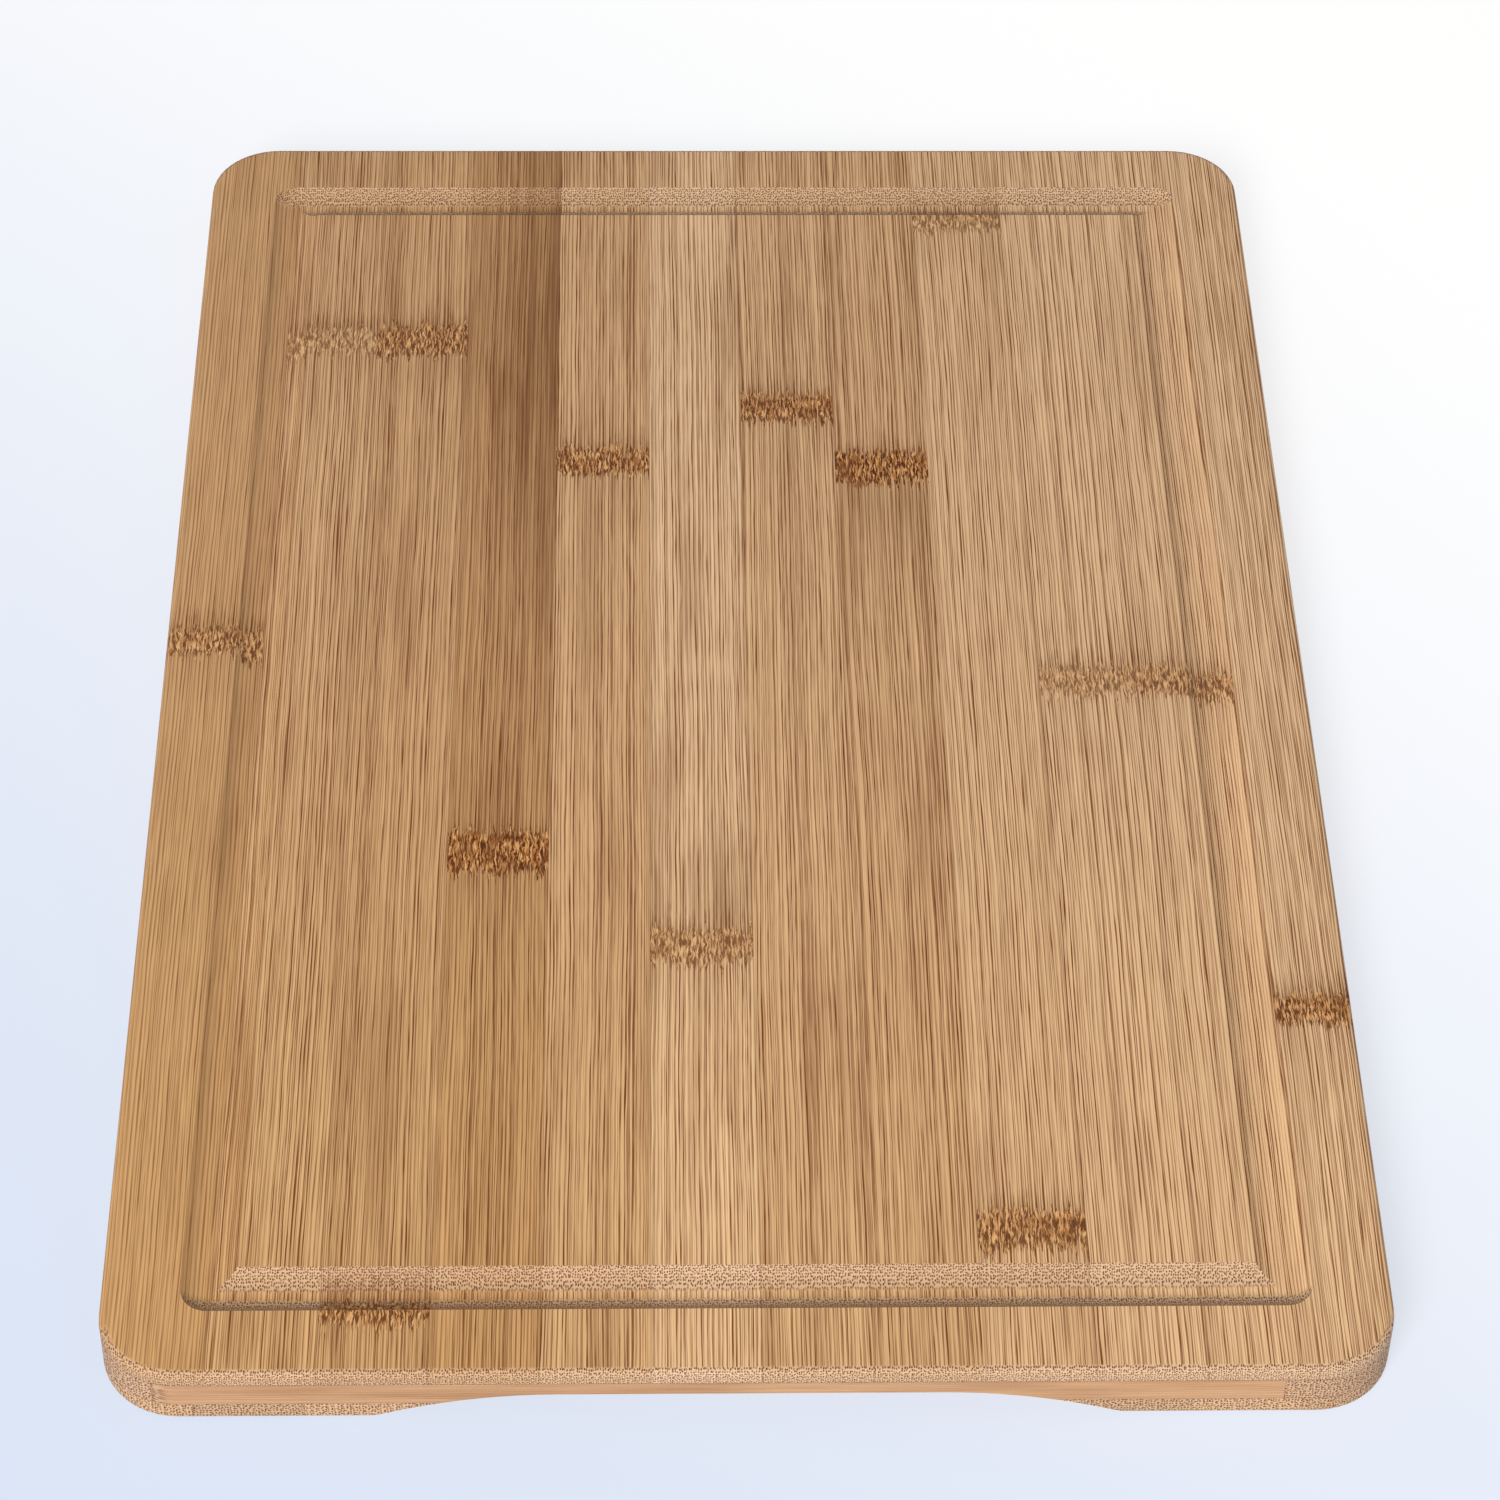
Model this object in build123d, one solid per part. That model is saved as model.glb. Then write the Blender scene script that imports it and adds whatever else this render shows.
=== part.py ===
from build123d import *
import math
import os

# Bamboo cutting board, in millimetres.
#
# +X is the board's right, +Y its back and +Z up. The origin is the centre of the underside.
#
# The board is a three-ply glued laminate. The top and bottom plies are strips that run along Y.
# The core is a row of cross slats that run along X, closed at each side by a rail along Y. The
# blank is shaped first, with its rounded edges, juice groove and finger grips, and is then
# divided along its glue lines, so that every strip is a solid of its own.

# Blank
WIDTH = 305.0                   # 12 in, along X
LENGTH = 457.0                  # 18 in, along Y
BOTTOM_PLY = 6.0
CORE_PLY = 7.0
TOP_PLY = 4.0
CORNER_RADIUS = 19.0            # in plan
EDGE_RADIUS = 2.0               # roundover of the upper and lower edges

# Strips
STRIP_WIDTH = 26.0              # a whole strip or slat
TOP_FIRST_STRIP = 25.6          # left edge strip of the top ply, trimmed with the blank
BOTTOM_FIRST_STRIP = 22.5       # edge strips of the bottom ply, equal left and right
LEFT_RAIL_WIDTH = 13.5
RIGHT_RAIL_WIDTH = 27.0

# Juice groove, a round-bottomed cove that follows the edge of the board
GROOVE_INSET = 25.3             # board edge to groove centre line
GROOVE_WIDTH = 13.0
GROOVE_DEPTH = 3.2

# Finger grips, one under the front edge and one under the back edge
GRIP_FLAT = 90.0                # length of the level roof, along X
GRIP_HEIGHT = 9.0               # roof above the underside
GRIP_SWEEP_RADIUS = 120.0       # the roof falls to the underside at this radius
GRIP_DEPTH = 18.0               # reach in from the board edge
GRIP_COVE_RADIUS = 4.0          # between the roof and the inner wall

THICKNESS = BOTTOM_PLY + CORE_PLY + TOP_PLY
BOTTOM_SPAN = (0.0, BOTTOM_PLY)
CORE_SPAN = (BOTTOM_PLY, BOTTOM_PLY + CORE_PLY)
TOP_SPAN = (BOTTOM_PLY + CORE_PLY, THICKNESS)
X_SPAN = (-WIDTH / 2, WIDTH / 2)
Y_SPAN = (-LENGTH / 2, LENGTH / 2)


def block(x_span, y_span, z_span):
    """A box between two limits along each axis."""
    size = [high - low for low, high in (x_span, y_span, z_span)]
    centre = [(low + high) / 2 for low, high in (x_span, y_span, z_span)]
    return Pos(*centre) * Box(*size)


def blank():
    """The board before any cut, with its corners and edges rounded."""
    board = extrude(RectangleRounded(WIDTH, LENGTH, CORNER_RADIUS), THICKNESS)
    rims = board.faces().sort_by(Axis.Z)
    return fillet(rims[0].edges() + rims[-1].edges(), EDGE_RADIUS)


def juice_groove():
    """Four rounded channels that meet in mitres inside and in round corners outside."""
    cove_radius = ((GROOVE_WIDTH / 2) ** 2 + GROOVE_DEPTH ** 2) / (2 * GROOVE_DEPTH)
    axis_height = THICKNESS - GROOVE_DEPTH + cove_radius
    half_x = WIDTH / 2 - GROOVE_INSET
    half_y = LENGTH / 2 - GROOVE_INSET
    channels = []
    for side in (-1, 1):
        along_x = Cylinder(cove_radius, 2 * half_x, rotation=(0, 90, 0))
        along_y = Cylinder(cove_radius, 2 * half_y, rotation=(90, 0, 0))
        channels.append(Pos(0, side * half_y, axis_height) * along_x)
        channels.append(Pos(side * half_x, 0, axis_height) * along_y)
        for end in (-1, 1):
            channels.append(Pos(side * half_x, end * half_y, axis_height) * Sphere(cove_radius))
    return channels


def finger_grip(side):
    """The recess under the front edge (side -1) or the back edge (side 1).

    The roof is level, then falls along an arc at each end. The outline carries on below the
    underside, so that the arc cuts the underside cleanly.
    """
    fall_angle = math.degrees(math.acos(1 - 2 * GRIP_HEIGHT / GRIP_SWEEP_RADIUS))
    roof = Line((-GRIP_FLAT / 2, GRIP_HEIGHT), (GRIP_FLAT / 2, GRIP_HEIGHT))
    right_end = JernArc(roof @ 1, (1, 0), GRIP_SWEEP_RADIUS, -fall_angle)
    left_end = JernArc(roof @ 0, (-1, 0), GRIP_SWEEP_RADIUS, fall_angle)
    base = Line(left_end @ 1, right_end @ 1)
    arch = Plane.XZ * make_face([roof, right_end, base, left_end])
    inner_y = side * (LENGTH / 2 - GRIP_DEPTH)
    recess = extrude(Pos(0, inner_y, 0) * arch, 2 * GRIP_DEPTH, dir=(0, side, 0))
    inner_rim = recess.edges().group_by(Axis.Y)[0 if side > 0 else -1]
    return fillet(inner_rim.sort_by(Axis.Z)[1:], GRIP_COVE_RADIUS)


def strip_spans(span, first_width):
    """Divide a span into strips: the first of the given width, whole ones, then what is left."""
    low, high = span
    cuts = [low, low + first_width]
    while cuts[-1] + STRIP_WIDTH < high:
        cuts.append(cuts[-1] + STRIP_WIDTH)
    cuts.append(high)
    return list(zip(cuts[:-1], cuts[1:]))


def lay_up():
    """Every strip's name, with the box that the glue lines give it."""
    strips = {}
    for number, x_span in enumerate(strip_spans(X_SPAN, TOP_FIRST_STRIP), 1):
        strips[f"top_strip_{number:02d}"] = block(x_span, Y_SPAN, TOP_SPAN)
    for number, x_span in enumerate(strip_spans(X_SPAN, BOTTOM_FIRST_STRIP), 1):
        strips[f"bottom_strip_{number:02d}"] = block(x_span, Y_SPAN, BOTTOM_SPAN)
    left_joint = X_SPAN[0] + LEFT_RAIL_WIDTH
    right_joint = X_SPAN[1] - RIGHT_RAIL_WIDTH
    strips["core_rail_left"] = block((X_SPAN[0], left_joint), Y_SPAN, CORE_SPAN)
    strips["core_rail_right"] = block((right_joint, X_SPAN[1]), Y_SPAN, CORE_SPAN)
    for number, y_span in enumerate(strip_spans(Y_SPAN, STRIP_WIDTH), 1):
        strips[f"core_slat_{number:02d}"] = block((left_joint, right_joint), y_span, CORE_SPAN)
    return strips


board = blank()
for cutter in juice_groove() + [finger_grip(-1), finger_grip(1)]:
    board = board - cutter

os.makedirs("parts", exist_ok=True)
for name, glue_box in lay_up().items():
    strip = (board & glue_box).solids()
    print(name, len(strip), round(sum(piece.volume for piece in strip)))
    export_step(strip[0], f"parts/{name}.step")
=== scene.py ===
import math

import bpy
from mathutils import Matrix, Vector


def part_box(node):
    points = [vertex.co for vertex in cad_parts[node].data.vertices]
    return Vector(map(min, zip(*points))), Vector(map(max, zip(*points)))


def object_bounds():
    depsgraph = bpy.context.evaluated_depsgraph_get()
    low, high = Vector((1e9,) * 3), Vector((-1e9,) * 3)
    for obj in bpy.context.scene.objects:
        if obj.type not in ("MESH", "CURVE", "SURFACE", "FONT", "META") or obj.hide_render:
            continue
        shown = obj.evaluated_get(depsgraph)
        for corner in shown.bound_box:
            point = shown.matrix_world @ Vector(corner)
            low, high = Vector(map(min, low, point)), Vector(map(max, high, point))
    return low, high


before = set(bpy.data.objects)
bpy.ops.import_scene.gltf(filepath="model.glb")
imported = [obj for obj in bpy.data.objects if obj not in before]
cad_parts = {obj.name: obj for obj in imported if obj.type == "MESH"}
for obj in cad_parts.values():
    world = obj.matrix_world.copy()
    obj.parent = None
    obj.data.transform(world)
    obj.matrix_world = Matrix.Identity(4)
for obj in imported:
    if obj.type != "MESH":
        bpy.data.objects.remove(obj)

CAD_LOW, CAD_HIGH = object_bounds()

# A laminated bamboo cutting board. Every strip is a CAD node that keeps its shape, and this script
# gives each one its own bamboo: a solid texture, so a face along the fibre shows lines, a cut across
# it shows pores, and a slope between the two, as in the juice groove, shows dashes.
#
# Objects are in metres. Textures are worked in millimetres of the same frame.

MM_PER_M = 1000.0
ALONG_X, ALONG_Y = 0, 1                 # the axis that a strip's fibre runs along
LEAST_GAP = 0.0005                      # metres: nearer than this, a strip's face is the board's face

# --- bamboo, colours as sRGB 0-255 ---

DARK_STRIP = (195, 154, 109)
PALE_STRIP = (222, 187, 148)
PALENESS = (0.1, 0.4, 0.3, 0.0, 0.5, 1.0, 0.6, 0.5, 0.8, 0.9, 0.9, 1.0)     # top strips, from the left
EVEN_STRIPS = (1, 9, 10, 11, 12)        # top strips with a calmer tone
BOTTOM_COLOUR = (202, 161, 119)
BOTTOM_VARIATION = 0.06                 # from strip to strip
CORE_COLOUR = (180, 141, 106)
RAIL_COLOUR = (196, 156, 120)
END_COLOUR = (210, 168, 120)            # of a cut across the fibre
END_SHARE = 0.6                         # how far a cut goes from the strip's colour to that one
PORE_BROWN = (92, 48, 24)
SMEAR_BROWN = (140, 90, 52)
STAIN_BROWN = (116, 70, 36)
GLUE_BROWN = (96, 58, 32)

# A cane joint's browns, and the pale flecks in it. Where there are two colours, the first is for a
# joint so faint that its strength is 0, and the second is for a strength of 1 or more.
JOINT_STAIN = (146, 94, 48)
JOINT_LINE = (104, 58, 26)
JOINT_BROWNS = ((220, 176, 128), (184, 121, 64))
JOINT_FLECKS = ((246, 208, 160), (230, 178, 122))
JOINT_DASH = (86, 42, 15)
JOINT_SCORCH = (122, 70, 32)

# Factors on a linear colour
PALEST = (1.38, 1.38, 1.38)
DEEPEST = (0.98, 0.95, 0.90)
FIBRE_LINE = (0.28, 0.11, 0.03)
END_PALEST = (0.95, 1.0, 1.18)
WARM_TINT = (1.0, 0.97, 0.84, 1.0)

FIBRE_RANDOMNESS = 0.62                 # of the bundles' places: 0 is a regular row
TOP_PORES, OTHER_PORES = 0.56, 0.72     # millimetres from pore to pore
PORE_LEAN = 0.22                        # millimetres of depth for one along, on a slope
CUT_TURN = (0.05, 0.28)                 # the normal's part along the fibre, as lines turn to pores
LEVEL_TURN = 0.85                       # above this part across the fibre, a face is a side face
GLUE_REACH = (0.28, 0.04)               # a glue line fades in between these distances, in millimetres
GLUE_STRENGTH = 0.35

# How dark the fibre lines are, and how much the tone changes from place to place, from 0 to 1
LEFT_LINES = 0.75                       # top strip 1
CORE_LINES = 0.25                       # core slats
EVEN, UNEVEN = 0.5, 0.9                 # top strips

WARMTH_STEP = 0.05                      # what each top strip loses to the one on its left

# Relief and gloss
BUMP_STRENGTH = 0.35
BUMP_DEPTH = 0.00006                    # metres
HOLLOW = -0.6                           # a line or pore, and a glue line, against a grain height of 1
GLOSSY, DULL = 0.50, 0.68               # roughness
IOR = 1.45
SPECULAR = 0.25

FIRST_SEED = 11.0
STRIP_SEED = 5.3                        # from strip to strip
JOINT_SEED = 3.7                        # from joint to joint of one strip

# Bands where a joint of the cane crosses a top strip: place along the board and half the band's
# length, both in millimetres, and how dark it is.
CANE_JOINTS = {
    1: ((16, 5.0, 0.7),),
    2: ((140, 5.0, 0.3),),
    3: ((140, 6.5, 0.8), (-210, 4.0, 0.8)),
    4: ((-62, 7.0, 1.5),),
    5: ((88, 5.5, 0.9),),
    6: ((-95, 5.5, 0.5),),
    7: ((110, 6.0, 0.9),),
    8: ((85, 6.5, 1.4),),
    9: ((194, 5.0, 0.4), (-187, 6.0, 0.8)),
    10: ((0, 5.0, 0.4),),
    11: ((0, 5.0, 0.6),),
    12: ((-117, 5.0, 0.9),),
}

# Brown stains along a strip, heavier on its right: the millimetres along where each one begins, is
# darkest and ends, and its strength.
STAINS = {
    4: (-95, 140, 330, 1.0),
    6: (-95, -80, -35, 0.6),
    8: (0, 70, 85, 0.5),
}


def linear(colour):
    """An sRGB 0-255 colour as linear RGBA."""
    def channel(value):
        value = value / 255
        return value / 12.92 if value <= 0.04045 else ((value + 0.055) / 1.055) ** 2.4
    return tuple(channel(value) for value in colour) + (1.0,)


def blended(colour_a, colour_b, share):
    """Part of the way from one colour to another."""
    return tuple(a + (b - a) * share for a, b in zip(colour_a, colour_b))


def shaded(colour, factors):
    """A linear RGBA colour with its channels multiplied by three factors."""
    return tuple(min(channel * factor, 1.0) for channel, factor in zip(colour, factors)) + (1.0,)


# --- node trees ---

class Graph:
    """Short calls for building a node tree, for a material or for a group."""

    def __init__(self, tree):
        self.tree = tree

    def node(self, kind, inputs=None, **settings):
        made = self.tree.nodes.new(kind)
        for key, value in settings.items():
            setattr(made, key, value)
        for key, value in (inputs or {}).items():
            self.feed(made.inputs[key], value)
        return made

    def feed(self, socket, value):
        if isinstance(value, bpy.types.NodeSocket):
            self.tree.links.new(value, socket)
        elif value is not None:
            socket.default_value = value

    def math(self, operation, a, b=None, c=None):
        made = self.node("ShaderNodeMath", operation=operation)
        for socket, value in zip(made.inputs, (a, b, c)):
            self.feed(socket, value)
        return made.outputs[0]

    def total(self, *terms):
        """Add several sockets or numbers."""
        result = terms[0]
        for term in terms[1:]:
            result = self.math("ADD", result, term)
        return result

    def product(self, *terms):
        """Multiply several sockets or numbers."""
        result = terms[0]
        for term in terms[1:]:
            result = self.math("MULTIPLY", result, term)
        return result

    def vector(self, x, y, z=0.0):
        return self.node("ShaderNodeCombineXYZ", {0: x, 1: y, 2: z}).outputs[0]

    def scaled(self, socket, factor, offset=0.0):
        return self.math("MULTIPLY_ADD", socket, factor, offset)

    def ease(self, value, start, end, low=0.0, high=1.0):
        """Go smoothly from low to high as value goes from start to end."""
        made = self.node("ShaderNodeMapRange", interpolation_type="SMOOTHSTEP")
        for socket, item in zip(made.inputs, (value, start, end, low, high)):
            self.feed(socket, item)
        return made.outputs[0]

    def noise(self, vector, detail=2.0, roughness=0.5):
        """Noise about 0.5, at one cell per unit of the vector."""
        made = self.node("ShaderNodeTexNoise", {"Vector": vector, "Scale": 1.0, "Detail": detail,
                                                "Roughness": roughness})
        return made.outputs[0]

    def voronoi(self, place, randomness, dimensions):
        """Distance from the nearest cell's centre, and two random numbers for that cell."""
        socket = "W" if dimensions == "1D" else "Vector"
        made = self.node("ShaderNodeTexVoronoi", {socket: place, "Scale": 1.0, "Randomness": randomness},
                         voronoi_dimensions=dimensions)
        chance = self.node("ShaderNodeSeparateColor", {0: made.outputs["Color"]}).outputs
        return made.outputs["Distance"], chance[0], chance[1]

    def mix(self, factor, a, b, blend="MIX"):
        """Colour a, with as much of colour b as factor says."""
        made = self.node("ShaderNodeMix", data_type="RGBA", blend_type=blend)
        self.feed(made.inputs[0], factor)
        self.feed(made.inputs[6], a)
        self.feed(made.inputs[7], b)
        return made.outputs[2]

    def placed(self, tree, *values):
        """The outputs of a node group that is fed these values."""
        made = self.node("ShaderNodeGroup", node_tree=tree)
        for socket, value in zip(made.inputs, values):
            self.feed(socket, value)
        return list(made.outputs)


def group(name, inputs, outputs):
    """An empty node group, as a Graph with its input and output nodes."""
    tree = bpy.data.node_groups.new(name, "ShaderNodeTree")
    for label in inputs:
        tree.interface.new_socket(label, in_out="INPUT", socket_type="NodeSocketFloat")
    for label in outputs:
        tree.interface.new_socket(label, in_out="OUTPUT", socket_type="NodeSocketFloat")
    graph = Graph(tree)
    return graph, graph.node("NodeGroupInput").outputs, graph.node("NodeGroupOutput").inputs


def fibre_group():
    """The fibre bundles of a strip.

    Inputs are millimetres across the strip, through it and along the fibre, "face", which is the
    one of across and depth that a face along the fibre spans, and "spacing", the millimetres from
    pore to pore. Outputs go from 0 to 1: lines for a face along the fibre, pores for a cut across
    it, fine grain, tone streaks a few millimetres wide, and broad smears.
    """
    g, given, result = group("fibres", ("across", "depth", "along", "face", "spacing", "seed"),
                             ("line", "pore", "grain", "streak", "smear"))
    across, depth, along, straight_face, spacing, seed = (given[i] for i in range(6))

    def cells(place, per_mm, per_mm_along):
        """A place for noise, with so many cells to the millimetre across the fibre and along it."""
        return g.vector(g.scaled(place, per_mm, seed), g.scaled(along, per_mm_along))

    # The bundles wander a little along the strip, and weave about each other.
    wander = g.noise(cells(straight_face, 0.03, 0.006))
    face = g.total(straight_face, g.scaled(wander, 3.0, -1.5))
    weave = g.noise(cells(face, 0.8, 0.035))

    def lines(width, sway, core, rim, faintest, fades_to, strongest):
        """Lines about one width apart, each with its own strength, which fades in and out.

        Width and sway are in millimetres, and a line's dark core and its rim in parts of the width.
        """
        place = g.scaled(g.total(face, g.scaled(weave, sway)), 1 / width, seed)
        distance, chance, other_chance = g.voronoi(place, FIBRE_RANDOMNESS, "1D")
        fade = g.noise(cells(other_chance, 90.0, 0.045))
        strength = g.product(g.ease(chance, 0.0, 0.9, faintest, 1.0),
                             g.ease(fade, 0.30, 0.62, fades_to, strongest))
        return g.product(g.ease(distance, rim, core), strength)

    coarse = lines(width=0.98, sway=0.8, core=0.10, rim=0.25, faintest=0.55, fades_to=0.5, strongest=1.0)
    fine = lines(width=0.55, sway=0.6, core=0.08, rim=0.28, faintest=0.25, fades_to=0.3, strongest=0.9)
    g.feed(result[0], g.math("MAXIMUM", coarse, fine))

    sway = g.noise(g.vector(g.scaled(across, 0.9), g.scaled(along, 0.045), g.scaled(seed, 1.0, 9.0)))
    pore_across = g.total(g.math("DIVIDE", g.total(across, g.scaled(sway, 0.3)), spacing), seed)
    pore_depth = g.math("DIVIDE", g.total(depth, g.scaled(sway, 0.6)), spacing)
    distance, chance, _ = g.voronoi(g.vector(pore_across, pore_depth), FIBRE_RANDOMNESS, "2D")
    weight = g.ease(chance, 0.0, 0.8, 0.70, 1.0)
    g.feed(result[1], g.product(g.ease(distance, 0.44, 0.24), weight))

    grain = g.noise(cells(face, 2.6, 0.05), detail=3.0, roughness=0.7)
    g.feed(result[2], g.ease(grain, 0.30, 0.70))
    streak = g.noise(cells(face, 0.42, 0.008), detail=3.0, roughness=0.6)
    g.feed(result[3], g.ease(streak, 0.25, 0.75))
    smear = g.noise(cells(face, 0.11, 0.011))
    g.feed(result[4], g.ease(smear, 0.50, 0.70))
    return g.tree


def cane_joint_group():
    """The ragged brown band where a joint of the cane crosses a strip.

    The input "offset" is millimetres along the fibre from the middle of the band, and "half" is half
    the band's length. Outputs go from 0 to 1: the band itself, the stain that reaches past it, pale
    flecks in it, dark dashes, and scorched patches.
    """
    g, given, result = group("cane_joint", ("across", "depth", "offset", "half", "seed"),
                             ("band", "stain", "fleck", "dash", "scorch"))
    across, depth, offset, half, seed = (given[i] for i in range(5))

    # The band's edges run out in spikes along the fibre, and the whole band sways across the strip.
    spike = g.noise(g.vector(g.scaled(across, 1.5, seed), g.scaled(depth, 0.5), g.scaled(offset, 0.08)),
                    roughness=0.8)
    sway = g.noise(g.vector(g.scaled(across, 0.16, seed), 0.0))
    ragged = g.total(offset, g.scaled(spike, 19.0, -9.5), g.scaled(sway, 4.0, -2.0))
    past_edge = g.math("SUBTRACT", g.math("ABSOLUTE", ragged), half)
    g.feed(result[0], g.ease(past_edge, 0.6, -0.6))

    near = g.math("ABSOLUTE", g.total(ragged, g.scaled(spike, 14.0, -10.0)))
    wide = g.math("ABSOLUTE", g.total(offset, g.scaled(spike, 30.0, -15.0), g.scaled(sway, 40.0, -20.0)))
    g.feed(result[1], g.total(g.ease(near, 10.0, 2.0, 0.0, 0.8), g.ease(wide, 36.0, 4.0, 0.0, 0.2)))

    # Inside it are crumbs and curled strands. Holes and the gaps between strands are the dashes.
    curl = g.noise(g.vector(g.scaled(across, 0.7, seed), g.scaled(offset, 0.42), g.scaled(depth, 0.8)))
    crumb_across = g.total(g.scaled(across, 2.2, seed), g.scaled(curl, 3.0))
    crumb = g.noise(g.vector(crumb_across, g.scaled(depth, 1.0), g.scaled(offset, 0.27)),
                    detail=1.5, roughness=0.6)
    strand_width = 1.3
    curled = g.total(across, g.scaled(curl, 3.4))
    distance, _, _ = g.voronoi(g.scaled(curled, 1 / strand_width, seed), 0.8, "1D")
    gap = g.product(g.ease(distance, 0.34, 0.14), g.ease(crumb, 0.58, 0.48))
    low_edge = g.ease(g.math("ADD", ragged, half), 3.0, 0.0, 0.0, 0.07)
    hole = g.ease(g.math("SUBTRACT", crumb, low_edge), 0.47, 0.42)
    g.feed(result[2], g.ease(crumb, 0.53, 0.61))
    g.feed(result[3], g.math("MAXIMUM", gap, hole))

    scorch = g.noise(g.vector(g.scaled(across, 0.30, seed), g.scaled(offset, 0.12), g.scaled(depth, 0.2)))
    g.feed(result[4], g.ease(scorch, 0.40, 0.65))
    return g.tree


FIBRES = fibre_group()
CANE_JOINT = cane_joint_group()


# --- one strip's bamboo ---

class StripGraph(Graph):
    """The node tree of one strip's material, with the places and fibres that its parts share."""

    def __init__(self, tree, along_axis, pore_spacing, seed):
        super().__init__(tree)
        tree.nodes.clear()
        self.seed = seed
        place = self.node("ShaderNodeTexCoord")
        point = self.node("ShaderNodeVectorMath", {0: place.outputs["Object"], "Scale": MM_PER_M},
                          operation="SCALE")
        self.xyz = self.node("ShaderNodeSeparateXYZ", {0: point.outputs[0]}).outputs
        self.along = self.xyz[along_axis]
        self.across = self.xyz[1 - along_axis]
        self.depth = self.xyz[2]

        # How far the surface is cut across the fibre: 0 along it, 1 square to it.
        normal = self.node("ShaderNodeSeparateXYZ", {0: place.outputs["Normal"]}).outputs
        self.cut = self.ease(self.math("ABSOLUTE", normal[along_axis]), *CUT_TURN)
        upright = self.math("GREATER_THAN", self.math("ABSOLUTE", normal[1 - along_axis]), LEVEL_TURN)
        face = self.math("MULTIPLY_ADD", upright, self.math("SUBTRACT", self.depth, self.across),
                         self.across)

        # On a slope the pores lean with it, so that they stay pores and don't become stripes.
        lean = self.product(self.math("SIGN", normal[along_axis]), self.scaled(self.along, -PORE_LEAN))
        self.line, self.pore, self.grain, self.streak, self.smear = self.placed(
            FIBRES, self.across, self.total(self.depth, lean), self.along, face, pore_spacing, seed)


def plain_bamboo(g, colour, line_depth, unevenness):
    """The strip's own colour, with lines along the fibre and pores where it is cut."""
    base = linear(colour)
    pale = shaded(base, PALEST)
    deep = shaded(base, DEEPEST)
    end_pale = shaded(blended(base, linear(END_COLOUR), END_SHARE), END_PALEST)

    streaks = g.scaled(g.streak, 0.5 * unevenness, 0.25 * (1 - unevenness))
    flat = g.mix(g.math("MULTIPLY_ADD", g.grain, 0.5, streaks), pale, deep)
    flat = g.mix(g.scaled(g.smear, 0.34 * unevenness), flat, linear(SMEAR_BROWN))
    flat = g.mix(g.scaled(g.line, line_depth), flat, shaded(base, FIBRE_LINE))
    end = g.mix(g.scaled(g.streak, 0.3), end_pale, deep)
    end = g.mix(g.scaled(g.pore, 0.95), end, linear(PORE_BROWN))
    return g.mix(g.cut, flat, end)


def with_stain(g, shade, stain, left, right):
    """Add a brown stain between the strip's left and right limits, both in millimetres."""
    begins, darkest, ends, strength = stain
    reach = g.product(g.ease(g.along, begins, darkest), g.ease(g.along, ends, darkest))
    side = g.ease(g.across, left, right, 0.30, 1.0)
    gain = g.product(reach, side, g.ease(g.streak, 0.2, 0.9, 0.45 * strength, 0.85 * strength))
    return g.mix(gain, shade, linear(STAIN_BROWN))


def with_cane_joint(g, shade, joint, number):
    """Add one of the strip's cane joints."""
    position, half, strength = joint
    full = min(strength, 1.0)
    offset = g.scaled(g.along, 1.0, -position)
    band, stain, fleck, dash, scorch = g.placed(
        CANE_JOINT, g.across, g.depth, offset, half, g.seed + JOINT_SEED * number)

    shade = g.mix(g.scaled(stain, 0.30), shade, linear(JOINT_STAIN))
    shade = g.mix(g.product(g.line, stain), shade, linear(JOINT_LINE))
    browns = [linear(colour) for colour in JOINT_BROWNS]
    flecks = [linear(colour) for colour in JOINT_FLECKS]
    inside = g.mix(fleck, blended(*browns, full), blended(*flecks, full))
    inside = g.mix(g.scaled(dash, min(0.60 + 0.40 * strength, 1.0)), inside, linear(JOINT_DASH))
    inside = g.mix(g.scaled(scorch, 0.42 * strength), inside, linear(JOINT_SCORCH))
    return g.mix(g.scaled(band, min(0.72 + 0.25 * strength, 1.0)), shade, inside)


def with_warmth(g, shade, warmth):
    """Yellow the faces along the fibre towards the front of the board."""
    begins, front = CAD_HIGH.y * 0.5 * MM_PER_M, CAD_LOW.y * MM_PER_M
    drift = g.product(g.ease(g.along, begins, front, 0.0, warmth), g.scaled(g.cut, -1.0, 1.0))
    return g.mix(drift, shade, WARM_TINT, blend="MULTIPLY")


def glue_lines(g, low, high):
    """How dark the glue makes the last quarter of a millimetre of a strip, beside its neighbours."""
    edge = None
    for axis in range(3):
        for limit, outer in ((low[axis], CAD_LOW[axis]), (high[axis], CAD_HIGH[axis])):
            if abs(limit - outer) < LEAST_GAP:
                continue
            gap = g.math("ABSOLUTE", g.scaled(g.xyz[axis], 1.0, -limit * MM_PER_M))
            edge = gap if edge is None else g.math("MINIMUM", edge, gap)
    return g.ease(edge, *GLUE_REACH, 0.0, GLUE_STRENGTH)


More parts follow.
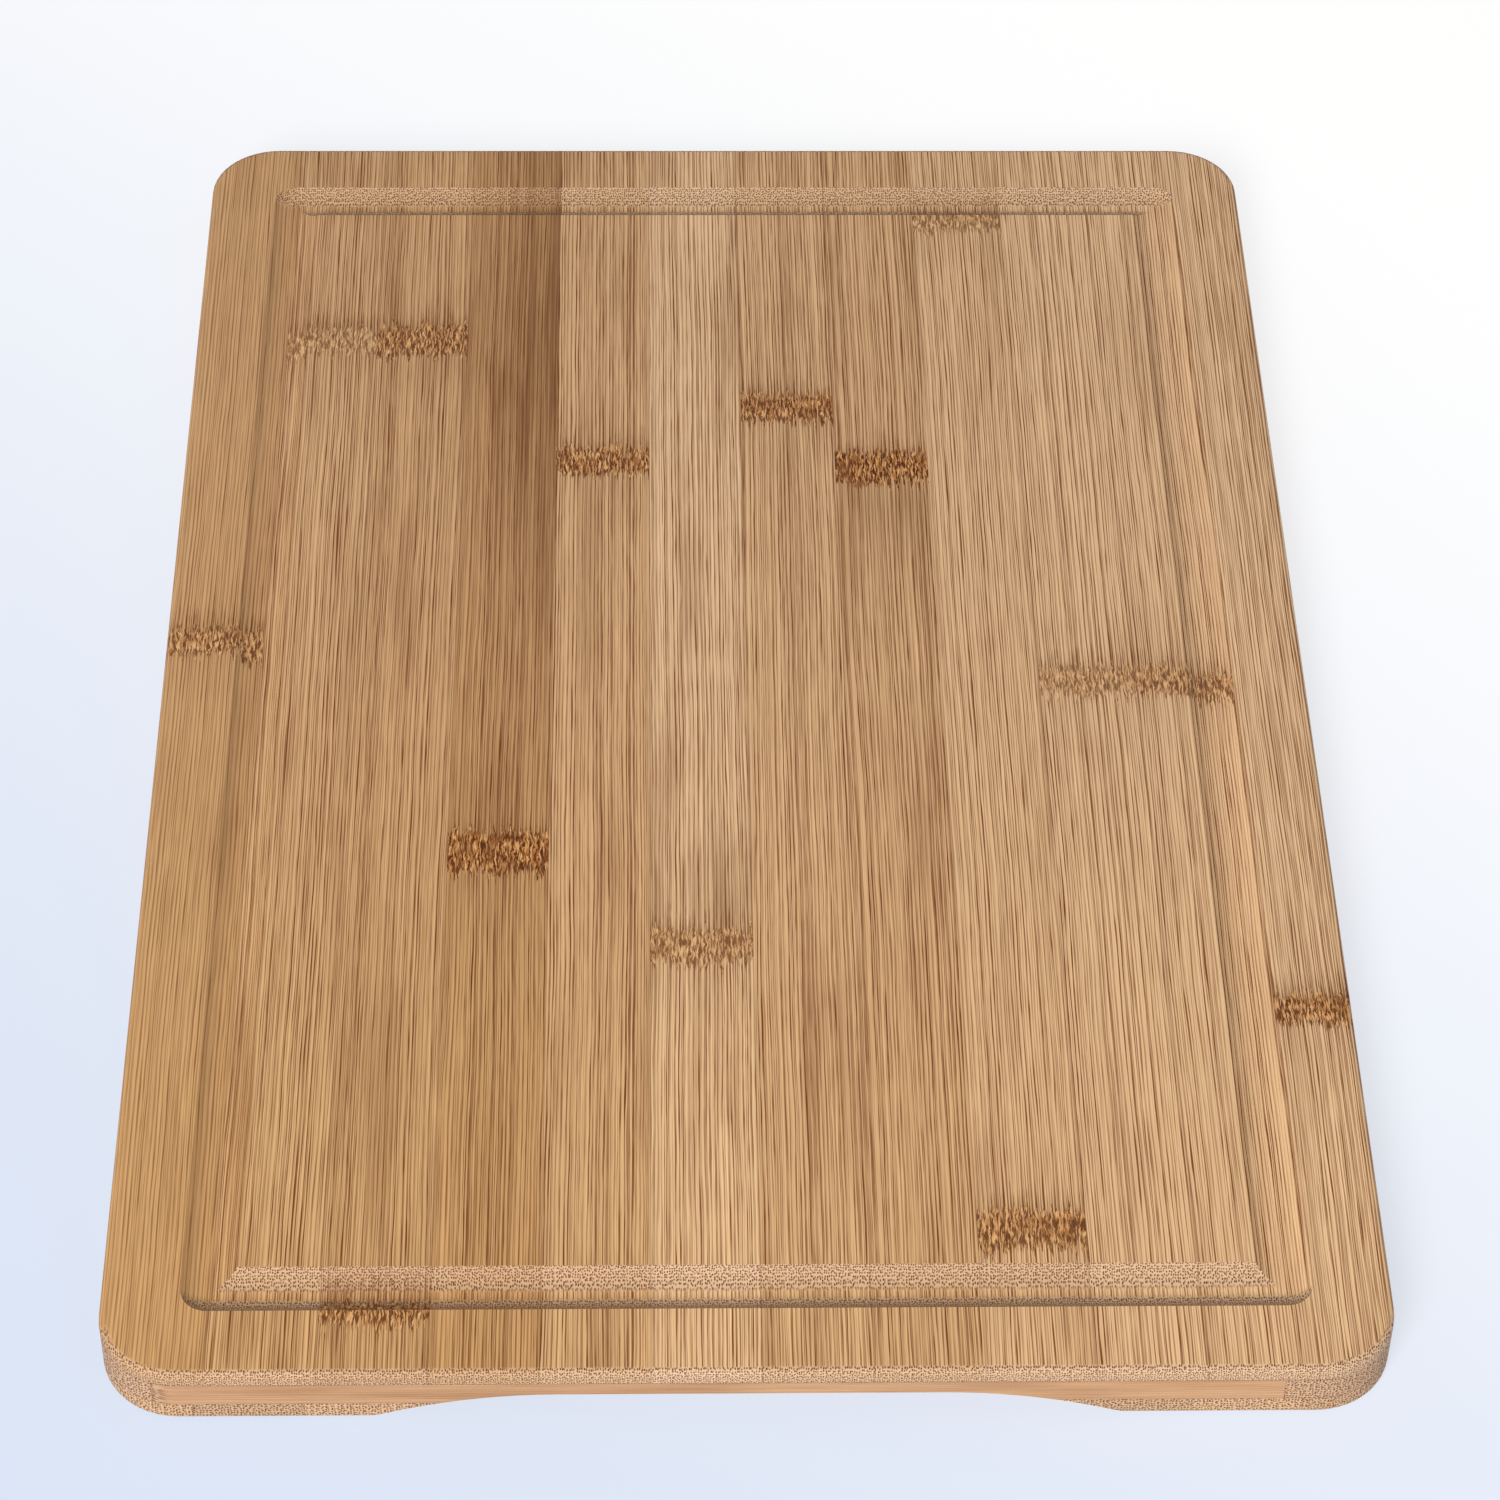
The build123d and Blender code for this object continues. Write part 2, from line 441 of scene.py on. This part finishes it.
def bamboo(name, colour, along_axis, seed, joints=(), line_depth=1.0, unevenness=1.0, stain=None,
           warmth=0.0):
    """The bamboo of one strip. Its node's box says where its glue lines are.

    joints and stain are the strip's own rows of CANE_JOINTS and STAINS. The others go from 0 to 1:
    line_depth is how dark its fibre lines are, unevenness how much its tone changes from place to
    place, and warmth how much it yellows towards the front.
    """
    low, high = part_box(name)
    material = bpy.data.materials.new("bamboo_" + name)
    material.use_nodes = True
    pore_spacing = TOP_PORES if name.startswith("top") else OTHER_PORES
    g = StripGraph(material.node_tree, along_axis, pore_spacing, seed)

    shade = plain_bamboo(g, colour, line_depth, unevenness)
    if stain:
        shade = with_stain(g, shade, stain, low.x * MM_PER_M, high.x * MM_PER_M)
    for number, joint in enumerate(joints):
        shade = with_cane_joint(g, shade, joint, number)
    if warmth:
        shade = with_warmth(g, shade, warmth)
    glue = glue_lines(g, low, high)
    shade = g.mix(glue, shade, linear(GLUE_BROWN))

    hollow = g.product(g.math("MAXIMUM", g.line, g.product(g.pore, g.cut)), HOLLOW)
    height = g.total(hollow, g.scaled(g.grain, 0.5), g.scaled(glue, HOLLOW))
    bump = g.node("ShaderNodeBump", {"Strength": BUMP_STRENGTH, "Distance": BUMP_DEPTH, "Height": height})
    roughness = g.ease(g.total(g.grain, g.scaled(hollow, -0.6)), 0.3, 0.9, GLOSSY, DULL)
    shader = g.node("ShaderNodeBsdfPrincipled", {"Base Color": shade, "Roughness": roughness,
                                                 "Normal": bump.outputs[0], "IOR": IOR,
                                                 "Specular IOR Level": SPECULAR})
    g.node("ShaderNodeOutputMaterial", {"Surface": shader.outputs[0]})
    return material


def top_bamboo(name, seed):
    """A top strip's bamboo. Strips are numbered from the left, and the left ones are warmer."""
    index = int(name[-2:])
    return bamboo(name, blended(DARK_STRIP, PALE_STRIP, PALENESS[index - 1]), ALONG_Y, seed,
                  joints=CANE_JOINTS.get(index, ()),
                  line_depth=LEFT_LINES if index == 1 else 1.0,
                  unevenness=EVEN if index in EVEN_STRIPS else UNEVEN,
                  stain=STAINS.get(index),
                  warmth=1.0 - WARMTH_STEP * index)


def bottom_bamboo(name, seed):
    """A bottom strip's bamboo, a little paler or darker than the next one's."""
    tone = 1.0 + BOTTOM_VARIATION * math.sin(2.4 * int(name[-2:]))
    return bamboo(name, [channel * tone for channel in BOTTOM_COLOUR], ALONG_Y, seed)


def dress_strips():
    """Give every strip its own bamboo."""
    for number, (name, piece) in enumerate(sorted(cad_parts.items())):
        seed = FIRST_SEED + STRIP_SEED * number
        if name.startswith("top_strip"):
            material = top_bamboo(name, seed)
        elif name.startswith("bottom_strip"):
            material = bottom_bamboo(name, seed)
        elif name.startswith("core_rail"):
            material = bamboo(name, RAIL_COLOUR, ALONG_Y, seed)
        else:
            material = bamboo(name, CORE_COLOUR, ALONG_X, seed, line_depth=CORE_LINES)
        piece.data.materials.clear()
        piece.data.materials.append(material)


# --- studio ---

FLOOR_SIDE = 8.0
FLOOR_DROP = 0.0002                     # below the board, so that the two don't share a plane
FLOOR_NEAR_SHADED = (212, 222, 240)            # sRGB, painted shade: darker and bluer, in front and to the left
FLOOR_FAR_LIT = (255, 255, 255)             # painted light: white, behind and to the right
FLOOR_SLANT = 0.75                      # how much the change of tone goes rightwards, to 1 backwards
FLOOR_REACH = 0.45                      # metres before and behind the origin that it takes
FLOOR_GLOW = 0.72                       # the share of the floor's look that is its own glow, painted light that keeps shadows on it faint
FLOOR_BRIGHTNESS = 1.09                 # of that glow
CAMERA_PLACE = Vector((-0.0224, -0.8850, 0.8907))
CAMERA_PITCH = math.radians(45.46)      # below the horizon
CAMERA_YAW = math.radians(1.724)        # to the right of +Y
CAMERA_ROLL = math.radians(-1.075)
CAMERA_LENS = 111.93                    # millimetres
SENSOR_WIDTH = 36.0
CAMERA_NEAREST = 0.01                   # metres
KEY_PLACE = Vector((-0.74, -2.1, 1.50))
KEY_SIDE = 1.1
KEY_POWER = 65.0
KEY_COLOUR = (1.0, 0.98, 0.95)
AMBIENT_COLOUR = (0.97, 0.965, 0.96, 1.0)
AMBIENT_STRENGTH = 0.42


def make_camera():
    """The camera at the photograph's angle."""
    data = bpy.data.cameras.new("camera")
    data.lens = CAMERA_LENS
    data.sensor_width = SENSOR_WIDTH
    data.clip_start = CAMERA_NEAREST
    camera = bpy.data.objects.new("camera", data)
    forward = Vector((math.sin(CAMERA_YAW) * math.cos(CAMERA_PITCH),
                      math.cos(CAMERA_YAW) * math.cos(CAMERA_PITCH),
                      -math.sin(CAMERA_PITCH)))
    level = Vector((math.cos(CAMERA_YAW), -math.sin(CAMERA_YAW), 0.0))
    down = forward.cross(level)
    right = math.cos(CAMERA_ROLL) * level + math.sin(CAMERA_ROLL) * down
    up = math.sin(CAMERA_ROLL) * level - math.cos(CAMERA_ROLL) * down
    turn = Matrix((right, up, -forward)).transposed()
    camera.matrix_world = Matrix.Translation(CAMERA_PLACE) @ turn.to_4x4()
    bpy.context.scene.collection.objects.link(camera)
    bpy.context.scene.camera = camera


def make_floor():
    """A pale floor that mostly glows, painted light that keeps shadows on it faint; its glow is painted
    darker and bluer in front and to the left, and white behind and to the right.
    """
    half = FLOOR_SIDE / 2
    corners = [(-half, -half, 0.0), (half, -half, 0.0), (half, half, 0.0), (-half, half, 0.0)]
    mesh = bpy.data.meshes.new("floor")
    mesh.from_pydata(corners, [], [(0, 1, 2, 3)])
    floor = bpy.data.objects.new("floor", mesh)
    floor.location.z = CAD_LOW.z - FLOOR_DROP
    bpy.context.scene.collection.objects.link(floor)

    material = bpy.data.materials.new("glowing_floor")
    material.use_nodes = True
    g = Graph(material.node_tree)
    g.tree.nodes.clear()
    place = g.node("ShaderNodeTexCoord")
    xyz = g.node("ShaderNodeSeparateXYZ", {0: place.outputs["Object"]}).outputs
    toward_back = g.total(g.scaled(xyz[0], FLOOR_SLANT), xyz[1])
    # painted light and shade: the floor's tone goes from darker and bluer in front to white behind
    tone = g.mix(g.ease(toward_back, -FLOOR_REACH, FLOOR_REACH), linear(FLOOR_NEAR_SHADED), linear(FLOOR_FAR_LIT))
    diffuse = g.node("ShaderNodeBsdfDiffuse", {"Color": tone})
    # painted light: the floor glows with that tone, though it is no lamp
    glow = g.node("ShaderNodeEmission", {"Color": tone, "Strength": FLOOR_BRIGHTNESS})
    blend = g.node("ShaderNodeMixShader", {0: FLOOR_GLOW, 1: diffuse.outputs[0], 2: glow.outputs[0]})
    g.node("ShaderNodeOutputMaterial", {"Surface": blend.outputs[0]})
    mesh.materials.append(material)


def make_lights():
    """One low key light in front and to the left, aimed at the board, and even ambient light."""
    world = bpy.data.worlds.new("studio")
    world.use_nodes = True
    background = world.node_tree.nodes["Background"]
    background.inputs["Color"].default_value = AMBIENT_COLOUR
    background.inputs["Strength"].default_value = AMBIENT_STRENGTH
    bpy.context.scene.world = world

    data = bpy.data.lights.new("key", "AREA")
    data.shape = "DISK"
    data.size = KEY_SIDE
    data.energy = KEY_POWER
    data.color = KEY_COLOUR
    light = bpy.data.objects.new("key", data)
    light.location = KEY_PLACE
    light.rotation_mode = "QUATERNION"
    light.rotation_quaternion = (-KEY_PLACE).to_track_quat("-Z", "Y")
    bpy.context.scene.collection.objects.link(light)


dress_strips()
make_floor()
make_lights()
make_camera()
bpy.context.scene.view_settings.view_transform = "Standard"
